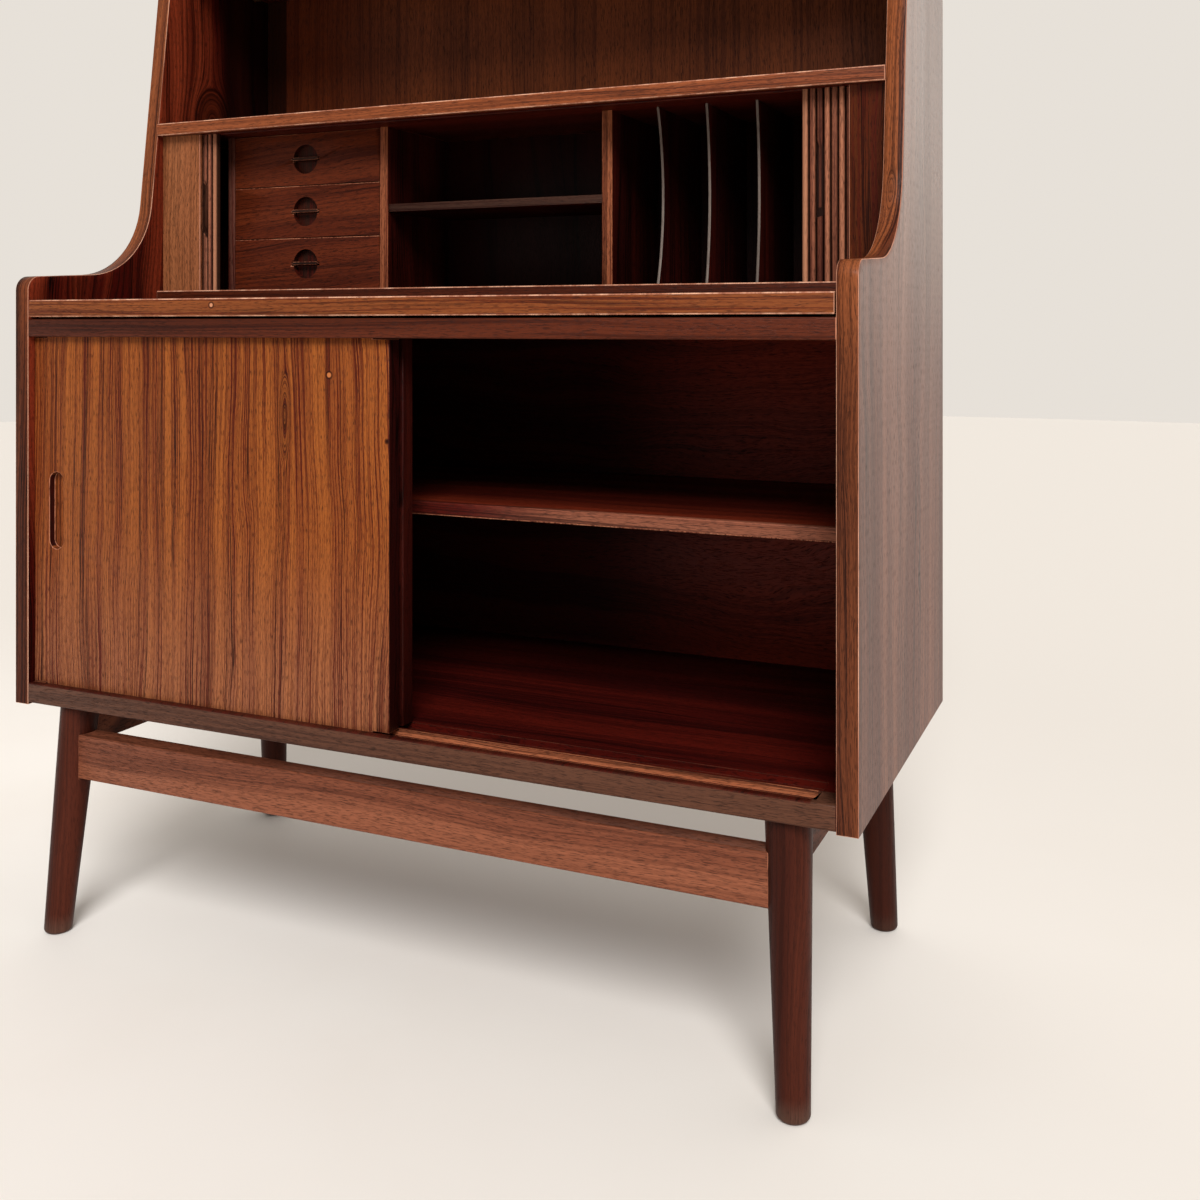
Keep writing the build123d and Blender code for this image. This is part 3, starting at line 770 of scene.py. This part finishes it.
class Workshop:
    """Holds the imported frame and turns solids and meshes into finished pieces."""

    def __init__(self, frame: dict[str, Any]) -> None:
        """Reads which body and which material slot every node has.

        Args:
            frame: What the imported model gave.
        """
        self.nodes = frame["nodes"]
        record = frame["record"]
        self.slots = {part["node"]: part["material_slot"] for part in record["subparts"]}
        bodies = record["behaviour"]["bodies"]
        self.bodies = {node: body for body, nodes in bodies.items() for node in nodes}
        self.palette = {finish.name: finish.material() for finish in FINISHES}

    def piece(self, name: str, shape: Shape, finishes: list[str]) -> Piece:
        """Turns a finished shape into an object of the scene.

        Args:
            name: The piece's name.
            shape: The shape, which is freed.
            finishes: The finishes of its material slots, in order.

        Returns:
            The object.
        """
        mesh = bpy.data.meshes.new(name)
        shape.to_mesh(mesh)
        shape.free()
        for finish in finishes:
            mesh.materials.append(self.palette[finish])
        mesh.shade_smooth()
        made = bpy.data.objects.new(name, mesh)
        bpy.context.scene.collection.objects.link(made)
        return made

    def hang(self, made: Piece, node: str) -> None:
        """Hangs a piece on a node's body."""
        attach(made, self.bodies[node])

    def ease(self, made: Piece, node: str, width: float, limit: str, clamped: bool) -> None:
        """Takes the arrises of a piece off and puts it in a node's place.

        Args:
            made: The piece, whose slot 1 holds the finish of its eased arrises, often pale for wear and a
                painted highlight.
            node: The node.
            width: How much the arrises lose, in millimetres.
            limit: Whether arrises are told by their WEIGHT or ANGLE.
            clamped: Whether the loss stops where two arrises would meet.
        """
        easing = made.modifiers.new("eased_arrises", "BEVEL")
        easing.width = width * MILLIMETRE
        easing.segments = 2
        easing.limit_method = limit
        easing.angle_limit = ARRIS_ANGLE
        easing.use_clamp_overlap = clamped
        easing.harden_normals = True
        easing.material = 1
        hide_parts(node)
        self.hang(made, node)

    def soften(
        self, node: str, finish: str, arris: str = "wear_and_highlight_arris", other: Optional[str] = None,
        sorter: Sorter = faces_front, width: float = 0.6, cuts: tuple[tuple[int, float], ...] = (),
        foot: float = 0.0, hidden: Optional[Test] = None, third: Optional[str] = None,
    ) -> None:
        """Replaces a node by the same solid with its arrises taken off.

        Args:
            node: The node.
            finish: The finish of its faces.
            arris: The finish of its eased arrises, by default pale for wear and a painted highlight.
            other: The finish of the faces in slot 2, or None to leave all faces in slot 0.
            sorter: Gives each face its slot, where slots 0 to 3 are finish, arris, other and third.
            width: How much the arrises lose, in millimetres.
            cuts: Axis and place of each cut through the faces, where a finish is to end.
            foot: The radius of the rounded edge at the very bottom, in millimetres.
            hidden: Tells the faces whose edges stay sharp, such as those of a glued joint.
            third: The finish of the faces in slot 3, if any.
        """
        shape = bmesh.new()
        shape.from_mesh(self.nodes[node].data)
        bmesh.ops.remove_doubles(shape, verts=shape.verts, dist=MERGE_DISTANCE)
        bmesh.ops.dissolve_limit(
            shape, angle_limit=FLAT_ANGLE, use_dissolve_boundaries=False,
            verts=shape.verts, edges=shape.edges,
        )
        for axis, place in cuts:
            square_on = Vector(1.0 if number == axis else 0.0 for number in range(3))
            whole = [*shape.verts, *shape.edges, *shape.faces]
            bmesh.ops.bisect_plane(
                shape, geom=whole, plane_co=square_on * place, plane_no=square_on
            )
        if foot:
            ground = min(vertex.co.z for vertex in shape.verts)
            low = [vertex for vertex in shape.verts if vertex.co.z < ground + MERGE_DISTANCE]
            rim = [edge for edge in shape.edges if all(end in low for end in edge.verts)]
            bmesh.ops.bevel(
                shape, geom=rim, offset=foot * MILLIMETRE, offset_type="OFFSET", segments=4,
                profile=0.5, affect="EDGES", clamp_overlap=True, material=-1,
            )
        shape.normal_update()
        if hidden:
            weights = shape.edges.layers.float.new("bevel_weight_edge")
            for edge in shape.edges:
                sharp = len(edge.link_faces) == 2 and edge.calc_face_angle() > ARRIS_ANGLE
                shown = sharp and not any(hidden(face) for face in edge.link_faces)
                edge[weights] = 1.0 if shown else 0.0
                edge.smooth = shown or not sharp
        for face in shape.faces:
            face.material_index = sorter(face) if other else 0
        finishes = [finish, arris, other or finish, third or finish]
        made = self.piece(f"{node}_lacquered", shape, finishes)
        self.ease(made, node, width, "WEIGHT" if hidden else "ANGLE", False)
        log.info("%s: %s with eased arrises", made.name, finish)

    def keep(self, node: str, finish: str) -> None:
        """Gives a node that stays as it is a finish.

        Args:
            node: The node.
            finish: The finish.
        """
        kept = self.nodes[node]
        kept.data.materials.clear()
        kept.data.materials.append(self.palette[finish])
        log.info("%s: %s on the packed solid", node, finish)


@dataclass
class Case:
    """The carcase: two shaped sides, the boards between them, the shelves and the backs."""

    shop: Workshop
    track_end: float = 0.457
    track_lip: float = 0.0085
    boards: tuple[str, ...] = (
        "cupboard_top_board", "desk_board", "tambour_top_board", "top_board", "cupboard_shelf",
        "lower_bookshelf", "upper_bookshelf",
    )
    lippings: tuple[tuple[str, str], ...] = (
        ("desk_board_lipping", "lipping"), ("tambour_top_lipping", "shelf_edge"),
        ("top_board_lipping", "shelf_edge"), ("bookshelf_lippings", "shelf_edge"),
    )
    backs: tuple[tuple[str, str], ...] = (
        ("lower_back_panel", "cupboard_back"), ("upper_back_panel", "back_veneer"),
    )

    def build(self) -> None:
        """Dresses the carcase."""
        soften = self.shop.soften
        soften("bottom_board", "floor_veneer", "dark_arris")
        for node in self.boards:
            soften(node, "board_veneer", "dark_arris")
        for node, finish in self.lippings:
            soften(node, finish, "highlight_arris", finish, on_front_arris)
        soften("cupboard_top_lipping", "lipping")
        soften(
            "cupboard_shelf_lipping", "cup_shelf_edge", "wear_and_highlight_arris", "cup_shelf_edge",
            on_lower_arris, hidden=faces_upwards,
        )
        for node, finish in self.backs:
            soften(node, finish, "dark_arris", "panel_rear", faces_rearwards)

        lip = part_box("bottom_board_lipping")[0][1] + self.track_lip

        def on_track(face: Face) -> int:
            """Puts the door tracks in slot 2 and what lies before them in slot 1.

            Args:
                face: A face of the lipping.

            Returns:
                The face's slot.
            """
            place = face.calc_center_median()
            upwards = face.normal.z >= LEANING
            if place.x > self.track_end or not (upwards or face.normal.y <= -FACING):
                return 0
            if place.y > lip:
                return 2
            return 1 if upwards else 0

        soften(
            "bottom_board_lipping", "rail_face", "dark_arris", "door_track", on_track,
            cuts=((0, self.track_end), (1, lip)),
        )
        for side in ("left", "right"):
            soften(
                f"{side}_side_panel", "inner_side", "wear_and_highlight_arris", "outer_side", looks_outwards, 0.4,
                hidden=covered_by_lipping, third="side_lipping",
            )
            soften(
                f"{side}_side_lipping", "side_lipping", "highlight_arris", "outer_side", in_or_out,
                hidden=glued_to_panel, third="inner_side",
            )
        self.shop.keep("shelf_pins", "brass")
        self.shop.keep("slide_runners", "runner_wood")


@dataclass
class Cupboard:
    """The two sliding doors of the cupboard: the rear one's broad lippings are painted dark, as painted
    shadow in the gap between the doors.
    """

    shop: Workshop
    lipping: float = 0.009

    def build(self) -> None:
        """Dresses the doors."""
        soften = self.shop.soften
        soften("front_door", "door_veneer", "wear_and_highlight_arris", "shaded_door_edge", faces_sideways)
        low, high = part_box("rear_door")
        left, right = low[0] + self.lipping, high[0] - self.lipping

        def in_lipping(face: Face) -> int:
            """Puts the faces of the door's two lippings in slot 2."""
            return 0 if left < face.calc_center_median().x < right else 2

        cuts = ((0, left), (0, right))
        soften("rear_door", "rear_door_veneer", "dark_arris", "shaded_door_edge", in_lipping, cuts=cuts)


@dataclass
class WritingSection:
    """The slide, the fillers, the pigeonholes and the letter rack behind the tambours."""

    shop: Workshop
    edges: tuple[tuple[str, str], ...] = (
        ("unit_end_walls", "shaded_end_wall_edge"), ("drawer_divider", "unit_edge"),
        ("rack_wall", "unit_edge"), ("pigeonhole_shelf", "pigeonhole_edge"),
        ("letter_slips", "slip_edge"),
    )

    def build(self) -> None:
        """Dresses the writing section."""
        soften = self.shop.soften
        slide = "slide_veneer"
        soften("writing_slide", "board_veneer", "dark_arris", width=0.5)
        soften("writing_slide_lipping", slide, "highlight_arris", slide, on_front_arris, 0.5)
        for side in ("left", "right"):
            veneer = f"{side}_filler_veneer"
            soften(f"{side}_filler", veneer, "highlight_arris", width=1.1, hidden=no_free_edge)
        for node, edge in self.edges:
            soften(node, "unit_veneer", edge, edge, width=0.3)
        soften("unit_back", "shaded_unit_back", "dark_arris", width=0.5)


@dataclass
class DrawerPull:
    """A bar with pointed ends, let into the drawer front across its round recess."""

    shop: Workshop
    drawer: str
    point: float = 0.0045
    tip: float = 0.15
    hollow: float = 0.0012

    def build(self) -> None:
        """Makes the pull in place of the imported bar."""
        node = f"{self.drawer}_drawer_pull"
        low, high = (Vector(corner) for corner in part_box(node))
        shape = bmesh.new()
        bmesh.ops.create_cube(shape, size=1.0)
        bmesh.ops.scale(shape, vec=high - low, verts=shape.verts)
        bmesh.ops.translate(shape, vec=(low + high) / 2, verts=shape.verts)
        for place in (low.x + self.point, high.x - self.point):
            whole = [*shape.verts, *shape.edges, *shape.faces]
            bmesh.ops.bisect_plane(shape, geom=whole, plane_co=(place, 0, 0), plane_no=(1, 0, 0))
        middle = (low.z + high.z) / 2
        for vertex in shape.verts:
            place = vertex.co
            if place.x < low.x + MERGE_DISTANCE or place.x > high.x - MERGE_DISTANCE:
                place.z = middle + (place.z - middle) * self.tip
            elif place.z < middle and place.y < (low.y + high.y) / 2:
                place.z += self.hollow
        made = self.shop.piece(f"{self.drawer}_drawer_bar", shape, ["pull_wood", "wear_and_highlight_arris"])
        self.shop.ease(made, node, 0.5, "ANGLE", True)


@dataclass
class Drawers:
    """The three small drawers on the left of the writing section."""

    shop: Workshop
    names: tuple[str, ...] = ("top", "middle", "bottom")
    recess_radius: float = 0.0195
    front_skin: float = 0.002

    def front(self, name: str) -> None:
        """Dresses a drawer's front, with its round recess painted dark as painted shade.

        Args:
            name: The drawer's name.
        """
        low, high = (Vector(corner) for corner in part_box(f"{name}_drawer_pull"))
        middle = (low + high) / 2
        front, back = (corner[1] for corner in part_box(f"{name}_drawer_front"))

        def in_recess(face: Face) -> int:
            """Puts the faces of the round recess in slot 2.

            Args:
                face: A face of the drawer's front.

            Returns:
                The face's slot.
            """
            place = face.calc_center_median()
            near = math.hypot(place.x - middle.x, place.z - middle.z) < self.recess_radius
            between = front + self.front_skin < place.y < back - self.front_skin
            return 2 if near and between else 0

        def not_top_edge(face: Face) -> bool:
            """Tells the faces whose arrises stay sharp."""
            return in_recess(face) == 2 or face.normal.z < -0.5 or abs(face.normal.x) > 0.5

        self.shop.soften(
            f"{name}_drawer_front", "drawer_veneer", "wear_and_highlight_arris", "shaded_pull_recess", in_recess, 0.8,
            hidden=not_top_edge,
        )

    def build(self) -> None:
        """Dresses the drawers and makes their pulls."""
        for name in self.names:
            self.front(name)
            self.shop.keep(f"{name}_drawer_box", "drawer_box_wood")
            DrawerPull(self.shop, name).build()
        self.shop.keep("drawer_runners", "runner_wood")


@dataclass
class Base:
    """Four turned legs, the rails between them and the screws that hold the case."""

    shop: Workshop

    def build(self) -> None:
        """Dresses the base."""
        soften = self.shop.soften
        for corner in ("left_front", "right_front", "left_rear", "right_rear"):
            soften(
                f"{corner}_leg", "leg_wood", "leg_wood", width=1.2, foot=FOOT_ROUND,
                hidden=near_the_floor,
            )
        for node in ("front_rail", "rear_rail"):
            soften(node, "rail_wood", width=0.8)
        soften("side_rails", "side_rail_wood", width=0.8)
        self.shop.keep("case_screws", "steel")


@dataclass
class Tambour:
    """One tambour: a stile, the slats that ride with it and the curtain that feeds out."""

    shop: Workshop
    side: int
    lead: float
    travel: float
    straight: int
    pitch: float = 0.0079
    front: float = 0.00725
    rear: float = 0.01475
    crown: float = 0.0036
    gap: float = 0.0007
    gap_depth: float = 0.0058
    held: tuple[tuple[float], ...] = ((0.7453,), (0.961,))
    free: tuple[tuple[float], ...] = ((0.7515,), (0.9555,))
    stile_ribs: int = 3
    free_slats: int = 2
    curtain_slats: int = 48
    fold: float = 0.476
    grip_middle: float = 0.8605
    grip_length: float = 0.083
    grip_depth: float = 0.0046
    arch: tuple[float, ...] = (0.0, 0.05, 0.16, 0.32, 0.5, 0.68, 0.84, 0.95, 1.0)
    grip_lean: float = 0.002
    grip_shade: float = 0.1
    tone_step: float = 0.4472

    @property
    def name(self) -> str:
        """Gives the tambour's body."""
        return "left_tambour" if self.side < 0 else "right_tambour"

    @property
    def ribs_that_ride(self) -> int:
        """Counts the ribs that move as one with the stile."""
        return self.stile_ribs + self.straight + self.free_slats

    def section(self, rib: int, moved: float = 0.0) -> list[tuple[float, float, float]]:
        """Works out one rib's half round section.

        Args:
            rib: The rib's number, from 0 at the leading edge.
            moved: How far the rib has moved in X.

        Returns:
            Places in X, in Y and across the tambour, round the section.
        """
        breadth = self.pitch - self.gap
        bed = self.front + self.gap_depth
        outline = []
        for share in self.arch:
            swell = math.sqrt(max(0.0, 1.0 - (2 * share - 1) ** 2))
            outline.append((self.pitch * rib + breadth * share, self.front + self.crown * (1 - swell)))
        corners = ((breadth / self.pitch, bed), (1.0, bed), (1.0, self.rear), (0.0, self.rear))
        for share, depth in corners:
            outline.append((self.pitch * (rib + share), depth))
        return [(self.lead + moved + self.side * girth, depth, girth) for girth, depth in outline]

    def raise_rib(
        self, shape: Shape, rib: int, levels: tuple[tuple[float, ...], ...], moved: float = 0.0
    ) -> None:
        """Adds one rib to a shape by drawing its section up.

        Args:
            shape: The shape.
            rib: The rib's number, from 0 at the leading edge.
            levels: The height of each level from the bottom up, and in a sunk grip its recess, how
            dark its painted shade is along its middle and how much it leans across the rib.
            moved: How far the rib has moved in X.
        """
        floats = shape.verts.layers.float
        numbers = shape.verts.layers.int
        across, strip, hollow = (
            floats.get(name) or floats.new(name) for name in ("across", "strip", "hollow")
        )
        corner = numbers.get("corner") or numbers.new("corner")
        section = self.section(rib, moved)

        def settle(
            height: float, recess: float = 0.0, darkening: float = 0.0, lean: float = 0.0
        ) -> None:
            """Puts the corners of the newest level in place and marks how hollow they lie, for painted
            shade.

            Args:
                height: The level's height.
                recess: How deep it is sunk.
                darkening: How dark its middle is.
                lean: How much it leans across the rib.
            """
            for vertex in face.verts:
                x, y, girth = section[vertex[corner]]
                share = girth / self.pitch - rib
                vertex.co = (x, max(y, self.front + recess), height + lean * share)
                flank = min(1.0, abs(share - RIB_CREST) / GRIP_FLANK) ** 2 if recess else 0.0
                raised = 0.0 if recess else (y - self.front) / self.crown
                vertex[hollow] = max(raised, darkening, flank)

        ring = []
        for number, (x, y, girth) in enumerate(section):
            vertex = shape.verts.new((x, y, 0.0))
            vertex[corner] = number
            vertex[across] = girth
            vertex[strip] = (rib * self.tone_step) % 1.0
            ring.append(vertex)
        face = shape.faces.new(ring)
        settle(*levels[0])
        for level in levels[1:]:
            grown = bmesh.ops.extrude_face_region(shape, geom=[face, *face.edges])["geom"]
            face = next(part for part in grown if isinstance(part, Face))
            settle(*level)

    def rest_place(self, closed: float, start: float, end: float) -> float:
        """Finds where a point of the curtain is at rest from where it is when closed.

        Args:
            closed: Its X when the tambour is closed.
            start: The X from which the curtain begins to follow the tambour.
            end: The X from which it follows fully.

        Returns:
            Its X at rest.
        """
        near, far = start, end
        for _ in range(60):
            middle = (near + far) / 2
            share = (middle - start) / (end - start)
            reached = middle + self.travel * share * share * (3 - 2 * share)
            if (reached - closed) * self.side > 0:
                near = middle
            else:
                far = middle
        return (near + far) / 2

    def finish(self, shape: Shape, name: str, node: str) -> Piece:
        """Closes a shape of ribs and makes it a piece that stands for a node.

        Args:
            shape: The shape.
            name: How the piece's name ends.
            node: How the name of the node that it replaces ends.

        Returns:
            The piece.
        """
        bmesh.ops.recalc_face_normals(shape, faces=shape.faces)
        shape.verts.layers.int.remove(shape.verts.layers.int["corner"])
        made = self.shop.piece(f"{self.name}_{name}", shape, ["slat_wood"])
        made.data.set_sharp_from_angle(angle=RIB_ANGLE)
        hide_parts(f"{self.name}_{node}")
        return made

    def stile(self) -> None:
        """Makes the leading stile, with its sunk grip in the last rib."""
        shape = bmesh.new()
        low, high = (self.grip_middle + half * self.grip_length for half in (-0.5, 0.5))
        lean, depth = self.grip_lean, self.grip_depth
        foot, head = self.held
        # The third value of each sunk level is the painted shade in the grip: darkest at its lower end,
        # lighter along its middle.
        sunk = (
            foot,
            (low, 0.0, 0.0, lean),
            (low + 0.0012, depth, 0.95, lean),
            (low + 0.009, depth, 0.95, lean),
            (low + 0.011, depth * 0.8, self.grip_shade, lean),
            (high - 0.03, depth * 0.8, self.grip_shade, -lean),
            (high - 0.006, depth, self.grip_shade, -lean),
            (high, 0.0, 0.0, -lean),
            head,
        )
        for rib in range(self.stile_ribs):
            self.raise_rib(shape, rib, sunk if rib == self.stile_ribs - 1 else self.held)
        made = self.finish(shape, "lead", "stile")
        self.shop.hang(made, f"{self.name}_stile")

    def slats(self) -> None:
        """Makes the slats that ride with the stile, the last of them without tongues."""
        shape = bmesh.new()
        first = self.stile_ribs
        for rib in range(first, self.ribs_that_ride):
            self.raise_rib(shape, rib, self.held if rib < first + self.straight else self.free)
        made = self.finish(shape, "ribs", "slats")
        self.shop.hang(made, f"{self.name}_slats")

    def curtain(self) -> None:
        """Makes the curtain, folded up behind the filler at rest and drawn out when closed."""
        shape = bmesh.new()
        first = self.ribs_that_ride
        for rib in range(first, first + self.curtain_slats):
            self.raise_rib(shape, rib, self.free, self.travel)
        start = self.side * self.fold
        end = self.lead + self.side * self.pitch * first
        for vertex in shape.verts:
            vertex.co.x = self.rest_place(vertex.co.x, start, end)
        made = self.finish(shape, "curtain", "tail")
        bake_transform(made, ROOT, self.name, start=(start, 0.0, 0.0), end=(end, 0.0, 0.0))

    def build(self) -> None:
        """Makes the tambour's three pieces."""
        self.stile()
        self.slats()
        self.curtain()
        log.info("%s: stile, slats and curtain", self.name)


@dataclass
class Studio:
    """A pale floor, one soft lamp and the photograph's camera."""

    shop: Workshop
    floor_radius: float = 9.0
    camera_place: tuple[float, float, float] = (0.7471, -1.33165, 0.7045)
    camera_turn: float = math.radians(23.9)
    lens: float = 38.64
    shift: float = -0.2283
    room_colour: Colour = (255, 248, 239)
    room_in_front: float = 0.4
    room_gain: float = 0.4
    brighter: tuple[float, float, float] = (0.15, 0.95, 0.1)
    sun_turn: float = math.radians(25)
    sun_height: float = math.radians(42)
    sun_softness: float = math.radians(28)
    sun_strength: float = 2.9

    def floor(self) -> None:
        """Lays the floor."""
        shape = bmesh.new()
        bmesh.ops.create_circle(shape, cap_ends=True, segments=96, radius=self.floor_radius)
        self.shop.piece("studio_floor", shape, ["floor_paint"])

    def sun(self) -> None:
        """Lights the piece with one broad soft lamp from the front, right and above."""
        light = bpy.data.lights.new("window", "SUN")
        light.energy = self.sun_strength
        light.angle = self.sun_softness
        light.color = (1.0, 0.99, 0.975)
        lamp = bpy.data.objects.new("window", light)
        level = math.cos(self.sun_height)
        east = math.sin(self.sun_turn) * level
        south = math.cos(self.sun_turn) * level
        source = Vector((east, -south, math.sin(self.sun_height)))
        lamp.rotation_euler = (-source).to_track_quat("-Z", "Y").to_euler()
        bpy.context.scene.collection.objects.link(lamp)

    def surroundings(self) -> None:
        """Sets the light of the room: pale behind the piece and dimmer in front of it."""
        world = bpy.data.worlds.new("room")
        bpy.context.scene.world = world
        shader = Shader(world)
        sides = {0: shader.field("ShaderNodeTexCoord", {}, "Generated"), 1: self.brighter}
        towards = shader.field("ShaderNodeVectorMath", sides, "Value", operation="DOT_PRODUCT")
        level = towards.rise(-0.1, 0.55) * self.room_gain + self.room_in_front
        room = {"Color": linear(self.room_colour), "Strength": level}
        shader.node("ShaderNodeOutputWorld", {"Surface": shader.field("ShaderNodeBackground", room)})

    def camera(self) -> None:
        """Places the camera where the photograph was taken."""
        data = bpy.data.cameras.new("photograph")
        data.lens = self.lens
        data.sensor_width = 36.0
        data.shift_y = self.shift
        data.clip_end = 60.0
        made = bpy.data.objects.new("photograph", data)
        made.location = self.camera_place
        made.rotation_euler = (math.radians(90), 0.0, self.camera_turn)
        bpy.context.scene.collection.objects.link(made)
        bpy.context.scene.camera = made

    def build(self) -> None:
        """Sets the studio up."""
        self.floor()
        self.sun()
        self.surroundings()
        self.camera()
        bpy.context.scene.view_settings.view_transform = "Standard"


def main() -> None:
    """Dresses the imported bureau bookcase."""
    logging.basicConfig(level=logging.INFO)
    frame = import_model()
    shop = Workshop(frame)
    for group in (Case, Cupboard, WritingSection, Drawers, Base):
        group(shop).build()
    Tambour(
        shop, side=-1, lead=-0.396, travel=0.3957, straight=2, grip_lean=0.01, grip_shade=0.5,
        tone_step=0.2,
    ).build()
    Tambour(shop, side=1, lead=0.388, travel=-0.3877, straight=3).build()
    Studio(shop).build()


if __name__ == "__main__":
    main()
